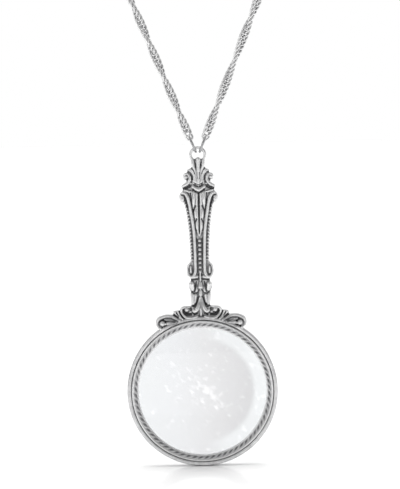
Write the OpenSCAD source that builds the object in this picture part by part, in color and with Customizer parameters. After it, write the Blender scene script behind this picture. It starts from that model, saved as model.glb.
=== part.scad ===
// Magnifier pendant on a chain: a cast handle with a rimmed round lens, hung by two
// jump rings from a twisted chain that closes behind the neck. The front faces -Y, and
// the origin is the middle of the neck opening.

/* [Rim and lens] */
// Outer diameter of the rim
rim_d = 45; // [40:0.5:52]
// Depth of the rim, front to back
rim_depth = 3.6; // [3.3:0.1:4.4]
// Width of the plain outer band of the rim
rim_band = 1.2; // [1:0.1:1.6]
// Thickness of the lip behind the lens
lip_t = 0.6; // [0.5:0.05:0.8]
// Width of the bezel, seen from the front
bezel_w = 2; // [1.8:0.1:2.6]
// Height of the bezel in front of the rim
bezel_proud = 0.2; // [0.1:0.05:0.5]
// Number of slanted grains round the bezel
grain_count = 68; // [48:1:76]
// Radius of a grain
grain_r = 0.6; // [0.4:0.05:0.7]
// Thickness of the lens in the middle
lens_mid = 3.8; // [3:0.1:5]
// Thickness of the lens at its edge
lens_edge = 1.6; // [1.2:0.1:1.8]
// How far bezel and lip reach over the lens
lens_lap = 1.3; // [0.8:0.1:1.6]
// Clearance round the lens and the bezel
seat_gap = 0.1; // [0.05:0.01:0.2]

/* [Handle] */
// Height from the top of the rim to the middle of the loop
handle_h = 48.1; // [40:0.5:60]
// Width across the upper scrolls
handle_w = 11.6; // [10:0.2:14]
// Thickness of the plate behind the relief
plate_t = 1.3; // [1:0.1:1.8]
// Thickest radius of the scroll work
scroll_r = 0.5; // [0.4:0.02:0.6]
// Height of the relief as a share of its width
relief = 1.3; // [1:0.1:1.6]
// Number of beads down the middle of the handle
pearl_count = 8; // [5:1:10]
// Radius of the top bead of that row
pearl_r = 0.6; // [0.4:0.02:0.7]
// Number of beads along each edge of the handle
edge_count = 17; // [12:1:20]
// Radius of an edge bead
edge_r = 0.44; // [0.35:0.01:0.55]

/* [Foot] */
// Angle round the rim from the middle to the tip of an ear
foot_angle = 34; // [28:1:42]
// Height of the foot above the rim
foot_rise = 3.6; // [3:0.1:4.6]
// Height of the foot's face in front of the handle's
foot_face = 0.9; // [0.4:0.1:1.2]
// Radius of the ball in each ear
ear_r = 1; // [0.8:0.05:1.3]

/* [Loop and jump rings] */
// Mean radius of the loop
loop_r = 2.15; // [2:0.05:2.6]
// Wire radius of the loop
loop_wire = 0.5; // [0.4:0.02:0.55]
// Mean radius of a jump ring
ring_r = 2.3; // [2.1:0.05:2.8]
// Wire radius of a jump ring
ring_wire = 0.38; // [0.3:0.02:0.42]
// Distance of a jump ring's lowest point from the middle
ring_side = 0.6; // [0.5:0.02:0.7]
// Play of a jump ring under the loop's wire
ring_hang = 0.37; // [0.3:0.01:0.45]
// Clearance between a jump ring and what it holds
ring_gap = 0.1; // [0.05:0.01:0.15]

/* [Chain] */
// Width of the chain
chain_w = 2.8; // [2:0.1:3.4]
// Mean radius of the link at each end of the chain
link_r = 1.15; // [1.05:0.05:1.5]
// Wire radius of that link
link_wire = 0.3; // [0.25:0.01:0.32]
// Depth of the loop's top wire below the neck
drop = 180; // [150:5:240]
// Distance of the pendant in front of the neck's middle
chest = 80; // [60:5:100]
// Distance of the clasp behind the neck's middle
nape = 68; // [66:1:72]
// Height of the clasp above the neck's middle
nape_rise = 40; // [36:1:44]

/* [Clasp] */
// Length of the clasp's barrel
clasp_l = 10; // [8:1:14]
// Diameter of the barrel
clasp_d = 4; // [3:0.5:5]
// Mean radius of the eye at each end
eye_r = 1.3; // [1.2:0.05:1.5]
// Wire radius of an eye
eye_wire = 0.35; // [0.3:0.01:0.4]

/* [Hidden] */

// The chain's way from the straight strand over the shoulder to the nape, right side
route = [[62, -50, -30], [71, -38, -8], [77, -16, 8], [76, 12, 20], [63, 40, 30], [39, 60, 37]];

// The radius of the tube's ends, as a share of the end link's wire
tube_end = 1.2;
strand_steps = 4;
tube_steps = 4;
tube_sides = 8;
stroke_sides = 6;

rim_r = rim_d / 2;
bore_r = rim_r - rim_band;
bezel_r = bore_r - seat_gap;
bezel_in = bezel_r - bezel_w;
lens_r = bezel_in + lens_lap;
lip_r = lens_r - lens_lap + 2 * seat_gap;
lens_bulge = (lens_mid - lens_edge) / 2;
lens_curve = (lens_r * lens_r + lens_bulge * lens_bulge) / (2 * lens_bulge);

// How far the lens stands out of its edge plane at a radius
function bulge_at(r) = sqrt(lens_curve * lens_curve - r * r)
    - sqrt(lens_curve * lens_curve - lens_r * lens_r);

// Depths along Y, the front being negative
rim_back = rim_depth / 2;
lip_face = rim_back - lip_t;
lens_back = lip_face - bulge_at(lip_r) - seat_gap;
lens_front = lens_back - lens_edge;
bezel_back = lens_front - bulge_at(bezel_in) - seat_gap;
bezel_front = -rim_back - bezel_proud;

// The pendant hangs with the loop's top wire on the hinge
hinge = [0, -chest, -drop];
loop_top = rim_r + handle_h + loop_r;
rim_middle = hinge - [0, 0, loop_top];

function unit(v) = v / norm(v);
function mirrored(p) = [-p[0], p[1], p[2]];

// A jump ring hangs below the loop's top wire and points up the strand
ring_foot = hinge + [ring_side, 0, -loop_wire - ring_wire - ring_hang];
strand_dir = unit(route[0] - ring_foot);
ring_across = unit([0, 1, 0] - strand_dir * strand_dir[1]);
ring_normal = cross(strand_dir, ring_across);
ring_middle = ring_foot + strand_dir * ring_r;
link_reach = link_r - link_wire - ring_gap;
link_middle = ring_foot + strand_dir * (2 * ring_r + link_reach - ring_wire);
strand_start = link_middle + strand_dir * link_r;

// The clasp's eye and the chain's last link beside it
eye_middle = [clasp_l / 2 + eye_r - 2 * eye_wire, nape, nape_rise];
last_link = eye_middle + [eye_r + link_reach - eye_wire, 0, 0];
strand_end = last_link + [link_r, 0, 0];

// Columns: share of half the handle's width, share of its height, share of scroll_r
RAIL = [[0.54, 0.325, 0.5], [0.62, 0.312, 0.6], [0.65, 0.287, 0.6], [0.62, 0.261, 0.75],
        [0.5, 0.244, 1], [0.36, 0.247, 1.1], [0.27, 0.266, 1.05], [0.24, 0.293, 1],
        [0.24, 0.345, 1], [0.25, 0.426, 1], [0.285, 0.532, 1.05], [0.36, 0.603, 1.1],
        [0.43, 0.659, 1.15], [0.5, 0.709, 1.2], [0.58, 0.74, 1.2], [0.7, 0.761, 1.1],
        [0.84, 0.764, 0.95], [0.92, 0.75, 0.85], [0.93, 0.73, 0.8], [0.86, 0.714, 0.7],
        [0.79, 0.712, 0.5]];
HORN = [[0.71, 0.853, 0.5], [0.74, 0.867, 0.7], [0.68, 0.88, 0.85], [0.55, 0.882, 0.9],
        [0.46, 0.869, 1], [0.43, 0.854, 1.05], [0.49, 0.836, 1.1], [0.6, 0.821, 1.2],
        [0.74, 0.811, 1.2], [0.8, 0.805, 1]];
SWAG = [[0.38, 0.82, 0.9], [0.3, 0.804, 1.1], [0.17, 0.792, 1.3], [0, 0.784, 1.6]];
RIB_1 = [[0.25, 0.967, 1], [0.26, 0.946, 1.2], [0.23, 0.925, 1.15], [0.17, 0.904, 0.95],
         [0.12, 0.879, 0.85], [0.1, 0.846, 0.8], [0.08, 0.818, 0.8]];
RIB_2 = [[0.37, 0.911, 1], [0.3, 0.904, 1.1], [0.22, 0.888, 0.95], [0.18, 0.867, 0.85],
         [0.16, 0.83, 0.8]];
RIB_3 = [[0.49, 0.904, 1], [0.42, 0.899, 1.1], [0.32, 0.882, 0.85], [0.26, 0.863, 0.7],
         [0.24, 0.828, 0.8]];
SPINE = [[0, 0.971, 1.7], [0, 0.925, 1.45], [0, 0.884, 1.3], [0, 0.842, 1.1],
         [0, 0.815, 1]];
VEIN = [[0.11, 0.765, 1], [0.12, 0.717, 1], [0.11, 0.676, 0.95], [0.1, 0.624, 0.9],
        [0.085, 0.561, 0.8], [0.07, 0.526, 0.7], [0.01, 0.5, 0.5]];
SPRAY = [[0.04, 0.112, 0.7], [0.09, 0.085, 1.1], [0.16, 0.06, 1.2], [0.27, 0.04, 1.3],
         [0.36, 0.034, 1.2]];
STEM = [[0, 0.111, 0.85], [0, 0.085, 1.1], [0, 0.02, 1], [0, -0.02, 0.5]];
BAR = [[0, 0.262, 0.6], [0, 0.22, 0.6]];

// Columns: the same shares at one end of a lobe, its radius in scroll_r, then the other end
LOBES = [[0.24, 0.765, 0.9, 0.28, 0.705, 1.4], [0.22, 0.67, 1, 0.21, 0.612, 1.1],
         [0.16, 0.597, 0.85, 0.14, 0.542, 0.85], [0.36, 0.772, 0.6, 0.4, 0.735, 0.6],
         [0.44, 0.2, 2, 0.435, 0.168, 1.9], [0.42, 0.13, 1.3, 0.42, 0.078, 1.3],
         [0.24, 0.128, 1.2, 0.3, 0.085, 1.2], [0.835, 0.744, 1.1, 0.83, 0.724, 1.2],
         [0.485, 0.306, 0.75, 0.485, 0.272, 0.75], [0.16, 0.244, 1.1, 0.46, 0.238, 0.9],
         [0.46, 0.772, 0.8, 0.7, 0.782, 0.8]];
MIDDLE_LOBES = [[0.204, 1.4, 0.18, 2], [0.148, 1.2, 0.133, 1.1], [0.52, 0.6, 0.5, 0.5]];

// Columns: share of half the handle's width, share of its height, radius in scroll_r
BALLS = [[0.63, 0.863, 1.2], [0.35, 0.034, 1.3]];

// Columns: share of half the handle's width, share of its height
PLATE = [[0.5, -0.02], [0.475, 0.07], [0.5, 0.096], [0.535, 0.139], [0.5, 0.148],
         [0.55, 0.16], [0.6, 0.187], [0.55, 0.21], [0.49, 0.222], [0.52, 0.233],
         [0.61, 0.247], [0.67, 0.287], [0.58, 0.325], [0.475, 0.343], [0.47, 0.385],
         [0.49, 0.447], [0.53, 0.53], [0.6, 0.603], [0.66, 0.655], [0.74, 0.7],
         [0.88, 0.708], [0.965, 0.728], [0.97, 0.75], [0.88, 0.77], [0.81, 0.784],
         [0.82, 0.8], [0.68, 0.817], [0.6, 0.832], [0.65, 0.846], [0.74, 0.863],
         [0.71, 0.88], [0.6, 0.89], [0.51, 0.904], [0.39, 0.915], [0.32, 0.93],
         [0.28, 0.954], [0.27, 0.975]];

// Columns: share of the foot's half angle, share of its rise
FOOT = [[0, 0.72], [0.12, 0.72], [0.2, 0.88], [0.33, 0.94], [0.4, 0.84], [0.43, 0.7],
        [0.47, 0.75], [0.54, 0.8], [0.57, 0.62], [0.6, 0.56], [0.72, 0.78], [0.86, 0.9],
        [0.94, 0.82], [0.99, 0.54], [0.99, 0.18], [0.99, -0.05], [0.99, -0.25],
        [0.75, -0.25], [0.5, -0.25], [0.25, -0.25], [0, -0.25]];

// Columns: the same shares, then share of scroll_r
FOOT_SCROLL = [[0.21, 0.84, 0.6], [0.28, 0.88, 0.8], [0.355, 0.88, 0.9], [0.4, 0.73, 0.9],
               [0.4, 0.45, 0.95], [0.37, 0.18, 0.95], [0.3, -0.02, 0.95],
               [0.2, -0.07, 0.85], [0.09, -0.02, 0.7]];
LEAF_1 = [[0.475, 0.7, 0.8], [0.475, 0.43, 0.9], [0.46, 0.18, 0.8], [0.42, -0.03, 0.6]];
LEAF_2 = [[0.54, 0.73, 0.9], [0.54, 0.52, 0.95], [0.51, 0.28, 0.8], [0.47, 0.06, 0.6]];
EAR = [[0.5, -0.05, 0.9], [0.57, 0.18, 1.2], [0.63, 0.44, 1.3], [0.71, 0.64, 1.3],
       [0.79, 0.73, 1.25], [0.88, 0.75, 1.2], [0.945, 0.59, 1.1], [0.97, 0.3, 1.05],
       [0.96, 0.02, 0.85]];
EAR_FILL = [[0.58, -0.05, 1.1], [0.65, 0.13, 1.7], [0.71, 0.3, 1.8], [0.77, 0.46, 1.4]];
EAR_BASE = [[0.6, -0.1, 0.9], [0.69, 0, 1.3], [0.76, 0.08, 1.2], [0.81, 0.12, 0.8]];
FOOT_BALLS = [[0.29, 0.63, 1.6]];
EAR_BALL = [0.87, 0.27];
// Columns: share of the handle's height, share of half its width
EDGE = [[0.35, 0.43], [0.45, 0.455], [0.54, 0.5], [0.62, 0.57], [0.694, 0.69]];
PEARL_TOP = 0.468;
PEARL_END = 0.275;
PEARL_TAPER = 0.2;

// The relief rises from the handle's face to the foot's between these shares of the height,
// and to the rim's front over this share of the foot's rise
LIFT_TOP = 0.085;
LIFT_END = 0.052;
RIM_REACH = 0.4;

// The bezel's slope: shares of its width, and the grains' turn and height
SLOPE_IN = 0.125;
SLOPE_OUT = 0.65;
RIDGE = 0.8;
SLOPE_DROP = 0.125;
INNER_DROP = 0.3125;
GRAIN_TURN = 55;
GRAIN_LENGTH = 0.55;
GRAIN_SINK = 0.15;

function on_handle(p) = [p[0] * handle_w / 2, rim_r + p[1] * handle_h];
function on_foot(p) = (rim_r + p[1] * foot_rise)
    * [sin(p[0] * foot_angle), cos(p[0] * foot_angle)];

// How far the relief is lifted: low on the handle, up to the rim's front beside the rim
function handle_lift(up) = foot_face * min(1, max(0, (LIFT_TOP - up) / (LIFT_TOP - LIFT_END)));
function foot_lift(rise) = foot_face
    + (rim_back - foot_face) * min(1, max(0, 1 - rise / RIM_REACH));
function handle_rows(rows) = [for (p = rows)
    concat(on_handle(p), p[2] * scroll_r, handle_lift(p[1]))];
function foot_rows(rows) = [for (p = rows)
    concat(on_foot(p), p[2] * scroll_r, foot_lift(p[1]))];
function bend(a, b, c, d, t) = (2 * b + (c - a) * t + (2 * a - 5 * b + 4 * c - d) * t * t
    + (3 * b - a - 3 * c + d) * t * t * t) / 2;

// A smooth row of points through those given, with some steps in each stretch
function smooth(p, steps) = let (last = len(p) - 1)
    [for (i = [0:last - 1], j = [0:steps - 1])
        bend(p[max(i - 1, 0)], p[i], p[i + 1], p[min(i + 2, last)], j / steps), p[last]];

// A closed solid through rings of points
module skin(rings) {
    sides = len(rings[0]);
    last = len(rings) - 1;
    polyhedron([for (ring = rings) each ring],
        concat([[for (j = [0:sides - 1]) j]],
               [[for (j = [sides - 1:-1:0]) last * sides + j]],
               [for (i = [0:last - 1], j = [0:sides - 1]) let (k = (j + 1) % sides)
                   [i * sides + j, (i + 1) * sides + j, (i + 1) * sides + k, i * sides + k]]));
}

// One stroke of relief on the front of the plate; rows hold across, up, radius and lift
module stroke(rows, steps = 1) {
    p = smooth(rows, steps);
    last = len(p) - 1;
    skin([for (i = [0:last])
        let (run = p[min(i + 1, last)] - p[max(i - 1, 0)], t = unit([run[0], run[1]]), r = p[i][2])
        [for (j = [0:stroke_sides - 1]) let (turn = 360 * (j + 0.5) / stroke_sides)
            [p[i][0] - t[1] * r * cos(turn), -p[i][3] - r * relief * sin(turn),
             p[i][1] + t[0] * r * cos(turn)]]]);
}

module bead(place, r, sides = 12, lift = 0) {
    translate([place[0], -lift, place[1]])
        scale([1, relief, 1])
            sphere(r, $fn = sides);
}

module lobe(from, from_r, to, to_r) {
    hull() {
        bead(from, from_r, 8);
        bead(to, to_r, 8);
    }
}

module both_sides() {
    children();
    mirror([1, 0, 0])
        children();
}

module upright(depth) {
    rotate([90, 0, 0])
        linear_extrude(depth, center = true)
            children();
}

// A ring of round wire in the XY plane
module wire_ring(mean_r, wire_r, turns = 48, sides = 16) {
    rotate_extrude($fn = turns)
        translate([mean_r, 0])
            circle(wire_r, $fn = sides);
}

// Lays a ring's plane along two directions at a place
module laid(place, along, across) {
    normal = cross(along, across);
    multmatrix([[along[0], across[0], normal[0], place[0]],
                [along[1], across[1], normal[1], place[1]],
                [along[2], across[2], normal[2], place[2]]])
        children();
}

// A solid of revolution about Y; its outline holds radius and depth
module turned(outline, sides = 80) {
    rotate([90, 0, 0])
        rotate_extrude($fn = sides)
            polygon([for (p = outline) [p[0], -p[1]]]);
}

module rim() {
    round_in = rim_band / 3;
    turned([[lip_r, lip_face], [bore_r, lip_face], [bore_r, round_in - rim_back],
            [bore_r + round_in, -rim_back], [rim_r - round_in, -rim_back],
            [rim_r, round_in - rim_back], [rim_r, rim_back - round_in],
            [rim_r - round_in, rim_back], [lip_r, rim_back]]);
}

module plate() {
    translate([0, plate_t / 2, 0])
        upright(plate_t)
            both_sides()
                polygon(concat([[0, rim_r]], [for (p = PLATE) on_handle(p)],
                               [[0, rim_r + PLATE[len(PLATE) - 1][1] * handle_h]]));
}

module foot_plate() {
    translate([0, (plate_t - foot_face) / 2, 0])
        upright(plate_t + foot_face)
            difference() {
                both_sides()
                    polygon([for (p = FOOT) on_foot(p)]);
                circle(bore_r + rim_band / 2, $fn = 80);
            }
}

module edge_beads() {
    low = EDGE[0][0];
    high = EDGE[len(EDGE) - 1][0];
    for (i = [0:edge_count - 1]) {
        up = low + (high - low) * i / (edge_count - 1);
        bead(on_handle([lookup(up, EDGE), up]), edge_r, 8);
    }
}

module pearls() {
    for (i = [0:pearl_count - 1]) {
        t = i / (pearl_count - 1);
        bead(on_handle([0, PEARL_TOP + (PEARL_END - PEARL_TOP) * t]),
             pearl_r * (1 - PEARL_TAPER * t));
    }
}

module lobes() {
    both_sides()
        for (p = LOBES)
            lobe(on_handle([p[0], p[1]]), p[2] * scroll_r,
                 on_handle([p[3], p[4]]), p[5] * scroll_r);
    for (p = MIDDLE_LOBES)
        lobe(on_handle([0, p[0]]), p[1] * scroll_r, on_handle([0, p[2]]), p[3] * scroll_r);
}

module relief_work() {
    both_sides() {
        for (rows = [RAIL, HORN])
            stroke(handle_rows(rows), 2);
        for (rows = [SWAG, RIB_1, RIB_2, RIB_3, VEIN, SPRAY])
            stroke(handle_rows(rows));
        for (rows = [FOOT_SCROLL, EAR])
            stroke(foot_rows(rows), 2);
        for (rows = [LEAF_1, LEAF_2, EAR_FILL, EAR_BASE])
            stroke(foot_rows(rows));
        for (p = BALLS)
            bead(on_handle(p), p[2] * scroll_r, 12, handle_lift(p[1]));
        for (p = FOOT_BALLS)
            bead(on_foot(p), p[2] * scroll_r, 12, foot_face);
        bead(on_foot(EAR_BALL), ear_r, 12, foot_face);
        edge_beads();
    }
    for (rows = [SPINE, STEM, BAR])
        stroke(handle_rows(rows));
    lobes();
    pearls();
}

module loop() {
    translate([0, 0, rim_r + handle_h])
        rotate([90, 0, 0])
            wire_ring(loop_r, loop_wire, 32, 12);
}

module frame() {
    color("lightslategray")
        translate(rim_middle) {
            rim();
            plate();
            foot_plate();
            relief_work();
            loop();
        }
}

module bezel() {
    slope_in = bezel_in + bezel_w * SLOPE_IN;
    slope_out = bezel_in + bezel_w * SLOPE_OUT;
    ridge = bezel_in + bezel_w * RIDGE;
    slope_front = bezel_front + bezel_w * SLOPE_DROP;
    inner_front = bezel_front + bezel_w * INNER_DROP;
    tilt = atan2(inner_front - slope_front, slope_out - slope_in);
    color("silver")
        translate(rim_middle) {
            turned([[bezel_in, bezel_back], [bezel_r, bezel_back],
                    [bezel_r, bezel_front + seat_gap], [ridge, bezel_front],
                    [slope_out, slope_front], [slope_in, inner_front],
                    [bezel_in, inner_front + seat_gap]]);
            for (i = [0:grain_count - 1])
                rotate([0, 360 * i / grain_count, 0])
                    translate([(slope_in + slope_out) / 2, (slope_front + inner_front) / 2
                               + grain_r * GRAIN_SINK, 0])
                        rotate([0, 0, -tilt])
                            rotate([0, GRAIN_TURN, 0])
                                cylinder(r = grain_r, h = bezel_w * GRAIN_LENGTH, center = true,
                                         $fn = 6);
        }
}

module lens() {
    steps = 10;
    front = [for (i = [steps:-1:0]) let (r = lens_r * i / steps) [r, lens_front - bulge_at(r)]];
    back = [for (i = [0:steps]) let (r = lens_r * i / steps) [r, lens_back + bulge_at(r)]];
    color("lightcyan")
        translate(rim_middle)
            turned(concat(front, back));
}

module jump_ring() {
    color("silver")
        laid(ring_middle, strand_dir, ring_across)
            wire_ring(ring_r, ring_wire);
}

module chain() {
    straight = [for (i = [0:strand_steps - 1])
        strand_start + (route[0] - strand_start) * i / strand_steps];
    p = smooth(concat(straight, route, [strand_end]), tube_steps);
    last = len(p) - 1;
    color("gainsboro") {
        skin([for (i = [0:last])
            let (t = unit(p[min(i + 1, last)] - p[max(i - 1, 0)]),
                 across = unit(cross(t, [0, 0, 1])), up = cross(across, t),
                 r = (i == 0 || i == last) ? link_wire * tube_end : chain_w / 2)
            [for (j = [0:tube_sides - 1]) let (turn = 360 * (j + 0.5) / tube_sides)
                p[i] + (across * cos(turn) + up * sin(turn)) * r]]);
        laid(link_middle, strand_dir, ring_normal)
            wire_ring(link_r, link_wire);
        laid(last_link, [1, 0, 0], [0, 0, 1])
            wire_ring(link_r, link_wire);
    }
}

module clasp() {
    color("silver") {
        translate([0, nape, nape_rise])
            rotate([0, 90, 0])
                rotate_extrude($fn = 48)
                    polygon([[0, -clasp_l / 2], [clasp_d / 4, -clasp_l / 2],
                             [clasp_d / 2, -clasp_l / 2 + clasp_d / 4],
                             [clasp_d / 2, clasp_l / 2 - clasp_d / 4],
                             [clasp_d / 4, clasp_l / 2], [0, clasp_l / 2]]);
        for (place = [eye_middle, mirrored(eye_middle)])
            laid(place, [1, 0, 0], [0, 1, 0])
                wire_ring(eye_r, eye_wire);
    }
}

frame();
bezel();
lens();
mirror([1, 0, 0]) jump_ring();  // jump_ring_left
jump_ring();  // jump_ring_right
mirror([1, 0, 0]) chain();  // chain_left
chain();  // chain_right
clasp();
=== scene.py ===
import math

import bmesh
import bpy
import numpy as np
from mathutils import Matrix, Vector


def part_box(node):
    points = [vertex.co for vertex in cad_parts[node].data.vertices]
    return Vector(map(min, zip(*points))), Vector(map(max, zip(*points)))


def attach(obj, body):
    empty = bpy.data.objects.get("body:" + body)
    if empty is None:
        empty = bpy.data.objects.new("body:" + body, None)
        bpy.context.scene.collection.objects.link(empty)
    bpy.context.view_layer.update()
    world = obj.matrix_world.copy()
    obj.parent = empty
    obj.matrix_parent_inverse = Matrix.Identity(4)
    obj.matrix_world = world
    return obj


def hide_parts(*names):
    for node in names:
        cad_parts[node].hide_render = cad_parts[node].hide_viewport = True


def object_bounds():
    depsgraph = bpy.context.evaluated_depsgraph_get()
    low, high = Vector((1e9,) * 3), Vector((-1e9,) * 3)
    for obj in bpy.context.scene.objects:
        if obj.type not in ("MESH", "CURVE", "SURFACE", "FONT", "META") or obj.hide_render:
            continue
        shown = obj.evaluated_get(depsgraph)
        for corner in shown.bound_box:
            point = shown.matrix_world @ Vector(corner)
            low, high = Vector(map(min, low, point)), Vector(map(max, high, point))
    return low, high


# Looks of the magnifier pendant. Lengths are in millimetres, in the pendant's own axes with
# their origin in the middle of the rim, until a mesh is placed. The frame is in metres.
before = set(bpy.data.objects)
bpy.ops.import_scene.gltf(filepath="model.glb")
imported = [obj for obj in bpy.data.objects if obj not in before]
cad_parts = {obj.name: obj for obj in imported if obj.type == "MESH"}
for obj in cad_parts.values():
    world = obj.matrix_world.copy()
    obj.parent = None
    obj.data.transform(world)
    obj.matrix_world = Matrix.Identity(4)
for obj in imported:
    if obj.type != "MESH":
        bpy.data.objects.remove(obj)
cad_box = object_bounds()

MM = 0.001
frame_low, frame_high = (np.array(corner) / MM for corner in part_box("frame"))
bezel_low, bezel_high = (np.array(corner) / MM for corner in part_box("bezel"))
lens_low, lens_high = (np.array(corner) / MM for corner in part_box("lens"))

# Rim, bezel and lens
RIM_DEPTH = 3.6
RIM_BAND = 1.2
LIP_T = 0.6
SEAT_GAP = 0.1
LENS_EDGE = 1.6
LENS_LAP = 1.3
GRAINS = 68
RIM_R = (frame_high[0] - frame_low[0]) / 2
RIM_BACK = RIM_DEPTH / 2
RIM_MIDDLE = np.array([0, frame_high[1] - RIM_BACK, frame_low[2] + RIM_R])
BORE_R = RIM_R - RIM_BAND
BEZEL_R = (bezel_high[0] - bezel_low[0]) / 2
LENS_R = (lens_high[0] - lens_low[0]) / 2
BEZEL_IN = LENS_R - LENS_LAP
LIP_R = BEZEL_IN + 2 * SEAT_GAP
LIP_FACE = RIM_BACK - LIP_T

# Handle, foot and loop
LOOP_R = 2.15
LOOP_WIRE = 0.5
HANDLE_H = frame_high[2] - RIM_MIDDLE[2] - RIM_R - LOOP_R - LOOP_WIRE
HANDLE_W = 11.6
PLATE_T = 1.3
SCROLL_R = 0.5
RELIEF = 1.3
PEARLS = 8
PEARL_R = 0.6
EDGE_BEADS = 17
EDGE_R = 0.44
FOOT_ANGLE = 34
FOOT_RISE = 3.6
FOOT_FACE = 0.9
EAR_R = 1

# Jump rings and chain
RING_R = 2.3
RING_WIRE = 0.38
RING_SIDE = 0.6
RING_HANG = 0.37
LINK_R = 1.15
LINK_REACH = 0.75
LINK_GAP = 0.02
LINK_PITCH = 1.28
LINK_WIRE = 0.3
LINK_HALF = 1.6
LINK_SIDE = 1.1
LINK_CURL = 0.3
LINK_FACE = 0.5
LINK_STEPS = 28
LINK_SIDES = 8
HALF_TURN = 11.7
LEFT_WIDE = [2.1, 12.9, 25, 36.7]
RIGHT_WIDE = [2.6, 15.9, 32.3]
HINGE = RIM_MIDDLE + [0, 0, RIM_R + HANDLE_H + LOOP_R]
ROUTE = [(62, -50, -30), (71, -38, -8), (77, -16, 8), (76, 12, 20), (63, 40, 30), (39, 60, 37)]
ROUTE_STEPS = 24

# Clasp
CLASP_L = 10
CLASP_D = 4
# Depth and half width of the seam round its middle, and where the plain barrel begins
CLASP_SEAM = 0.12
CLASP_PLAIN = 0.3
CLASP_TURNS = 64
EYE_R = 1.3
EYE_WIRE = 0.35
NAPE = (68, 40)

# Glass, and how closely the lens is turned, with its rings closer together toward the edge
GLASS_ROUGHNESS = 0.02
GLASS_IOR = 1.5
LENS_RINGS = 40
LENS_CROWDING = 0.8
LENS_TURNS = 256
# Painted reflections: faint white flecks that glow across the lens, thickening along a slanting
# streak: its angle, their brightness, scale, detail and stretch, and the noise at which they
# begin and are full
FLECK_TURN = math.radians(40)
REFLECTION_FLECK_GLOW = 0.22
FLECK_SCALE = 560
FLECK_DETAIL = 1.5
FLECK_STRETCH = (1.5, 1, 1)
FLECK_RANGE = (0.53, 0.85)
STREAK_STRETCH = (2.8, 10, 1)
STREAK_REACH = 5.5
STREAK_GAIN = 0.1
# Radii between which a painted reflection, a lighter crescent, begins on the right
CRESCENT_REFLECTION_RADII = (14.5, 16.5)
# Columns: share of the way across the lens, tint of the glass there with painted shade, darker towards
# the right
LENS_TINT_AND_SHADE = [(0, (0.76, 0.775, 0.785)), (0.3, (0.74, 0.75, 0.765)), (0.55, (0.69, 0.69, 0.7)),
             (0.82, (0.61, 0.61, 0.62)), (1, (0.59, 0.59, 0.6))]

# How finely the relief is cast, and the milled grains of the bezel
CAST_VOXEL = 0.136
# The cast skin is drawn to the mean of its neighbours and back, by these shares in turn
SMOOTHING = (0.5, -0.52) * 3
BEZEL_PROUD = 0.2
# Shares of the bezel's width from its bore outward: both sides of the milled band, the ridge
BAND_IN = 1 / 8
BAND_OUT = 0.66
RIDGE = 0.82
# How far both sides of the band, outer and inner, lie behind the bezel's front
BAND_DROPS = (0.3, 0.6)
# Width and depth of the lip beside the band and of the two corners
BAND_LIP = (0.08, 0.04)
CORNER = (0.06, 0.1)
RIDGE_HALF = 0.12
RIDGE_DROP = 0.02
EDGE_DROP = 0.25
# Steps that a grain is turned in, the depth of its pit, how far it leans over the band in
# grains, and how high it is crowned, as a share of that depth
GRAIN_STEPS = 20
GRAIN_DEPTH = 0.34
GRAIN_SLANT = 0.4
GRAIN_CROWN = 0.35
# Half a pit's width as a share of a grain, and its length as a share of half the band
PIT_SHARE = 0.28
PIT_REACH = 0.75
# Widths over which the dark of a seam and of the rim's edge fades in
SEAM_FADE = 0.15
SEAM_STEP = 0.1
EDGE_FADE = RIM_BAND / 4
HAIR = 0.01

# Patina and painted light, from 0 where metal is rubbed bright and where highlights are painted
# to 1 where it is dark: on plain faces, then what cut marks with painted shade and highlights,
# narrow and wide hollows, seams, pits and the painted shade on the links' inner sides add
CAST_PATINA = 0.3
RIM_PATINA = 0.12
BEZEL_PATINA = 0.05
BAND_PATINA = 0.4
RING_PATINA = 0.4
LINK_PATINA = 0.03
MARK_AND_PAINTED_LIGHT_GAIN = 0.45
NARROW_GAIN = 6
WIDE_GAIN = 0.7
SEAM_GAIN = 0.3
PIT_GAIN = 0.55
LINK_SHADE_GAIN = 0.6
# Rounds of averaging that find narrow hollows and wide ones
NARROW_ROUNDS = 10
WIDE_ROUNDS = 80

# Columns: tone where rubbed and where highlights are painted, plain, and dark with patina and
# painted shade, roughness where polished and dull, strength of the fine grain, spread of the mottling
METALS = {
    "cast_metal": (0.8, 0.56, 0.14, 0.3, 0.6, 0.25, 0.4),
    "bezel_metal": (0.8, 0.64, 0.22, 0.28, 0.55, 0.2, 0.3),
    "ring_metal": (0.7, 0.48, 0.25, 0.25, 0.4, 0.1, 0.1),
    "chain_metal": (0.85, 0.66, 0.17, 0.25, 0.45, 0.1, 0.1),
}
# Patina and painted light at which metal has its plain tone and its dark one, and the blue of both
PLAIN_AT = 0.3
DARK_AT = 0.85
PLAIN_BLUE = 1.01
DARK_BLUE = 1.03
# Scale, detail and roughness of the mottling; scale and detail of the grain
MOTTLE_NOISE = (450, 6, 0.65)
GRAIN_NOISE = (2600, 5)
GRAIN_HEIGHT = 0.1

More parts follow.
